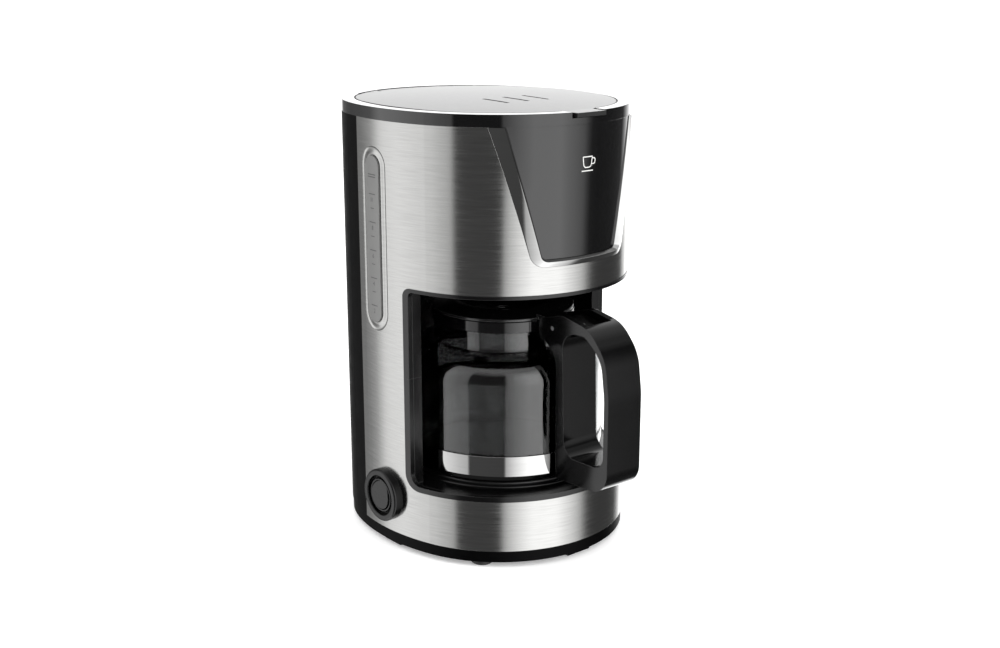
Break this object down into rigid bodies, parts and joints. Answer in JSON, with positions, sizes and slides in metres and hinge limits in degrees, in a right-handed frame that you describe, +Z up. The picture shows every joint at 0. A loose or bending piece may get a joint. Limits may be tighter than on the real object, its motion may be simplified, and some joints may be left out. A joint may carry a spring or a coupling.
{
  "type": "drip coffee maker",
  "caption": "Oval drip coffee maker with a glass carafe on its warming plate, steel skin, gauge window, side switch, hinged top lid and drip stop.",
  "frame": {"origin": "on the counter plane under the feet, at the middle of the overall width and depth", "axes": "+Z up; the front with the carafe handle looks along -Y; the side with the switch and the gauge window looks along -X"},
  "size_m": [0.1886, 0.2486, 0.3062],
  "materials": {
    "black_matte": "matte",
    "rubber": "matte",
    "screw_steel": "zinc plated",
    "black_satin": "satin",
    "steel": "brushed",
    "black_gloss": "gloss",
    "trim_steel": "polished edge",
    "clear_plastic": "clear",
    "silicone": "translucent satin",
    "aluminium": "cast",
    "grey_plastic": "satin",
    "white_plastic": "satin",
    "plate_enamel": "satin non-stick",
    "mesh": "woven mesh",
    "glass": "clear"
  },
  "bodies": {
    "housing": {"base_plate": "black_matte", "foot_front_left": "rubber", "foot_front_right": "rubber", "foot_rear_left": "rubber", "foot_rear_right": "rubber", "base_screws": "screw_steel", "lower_housing": "black_satin", "upper_housing": "black_satin", "steel_skin": "steel", "bay_frame_lower": "black_satin", "bay_frame_upper": "black_satin", "rear_cover": "black_matte", "rear_cover_screws": "screw_steel", "top_ring": "black_gloss", "panel_trim": "trim_steel", "lid_hinge_pin": "screw_steel", "gauge_surround": "steel", "gauge_window": "clear_plastic", "gauge_gasket": "rubber", "switch_bezel": "black_gloss", "switch_body": "black_matte", "water_tank": "clear_plastic", "tank_grommets": "silicone", "inlet_spigot": "black_matte", "inlet_hose": "silicone", "outlet_hose": "silicone", "water_tube": "aluminium", "riser_tube": "grey_plastic", "check_valve": "white_plastic", "hose_clips": "screw_steel", "spray_head": "black_matte", "warming_plate": "plate_enamel", "deck_ring": "black_satin", "heating_element": "aluminium", "heater_bracket": "screw_steel", "bracket_screw": "screw_steel", "thermostat": "white_plastic", "thermal_fuse": "white_plastic", "terminal_block": "white_plastic", "cord_gland": "rubber", "filter_basket": "black_matte", "mesh_filter": "mesh", "drip_spring": "screw_steel"},
    "lid": {"lid": "black_satin"},
    "rocker": {"switch_rocker": "black_gloss"},
    "carafe": {"carafe_glass": "glass", "carafe_band": "trim_steel", "carafe_collar": "black_gloss", "handle_screw": "screw_steel", "carafe_handle": "black_gloss", "carafe_lid_pin": "screw_steel"},
    "carafe_lid": {"carafe_lid": "black_satin", "thumb_lever": "black_satin"},
    "valve": {"drip_valve": "black_matte", "drip_seal": "silicone"}
  },
  "joints": [
    {"name": "lid_hinge", "type": "hinge", "parent": "housing", "child": "lid", "pos_m": [0.00275, 0.10575, 0.3003], "axis": [-1, 0, 0], "range_deg": [0, 85]},
    {"name": "rocker_pivot", "type": "hinge", "parent": "housing", "child": "rocker", "pos_m": [-0.09045, 0.01575, 0.0373], "axis": [0, -1, 0], "range_deg": [0, 13]},
    {"name": "carafe_slide", "type": "slide", "parent": "housing", "child": "carafe", "axis": [0, -1, 0], "range_m": [0, 0.16]},
    {"name": "carafe_lid_hinge", "type": "hinge", "parent": "carafe", "child": "carafe_lid", "pos_m": [0.00275, -0.07025, 0.1608], "axis": [1, 0, 0], "range_deg": [0, 5]},
    {"name": "drip_stop_slide", "type": "slide", "parent": "housing", "child": "valve", "axis": [0, 0, 1], "range_m": [-0.003, 0], "deforming": ["drip_spring"]}
  ],
  "couplings": [
    {"joint": "drip_stop_slide", "follows": "carafe_slide", "ratio": -0.01875}
  ]
}
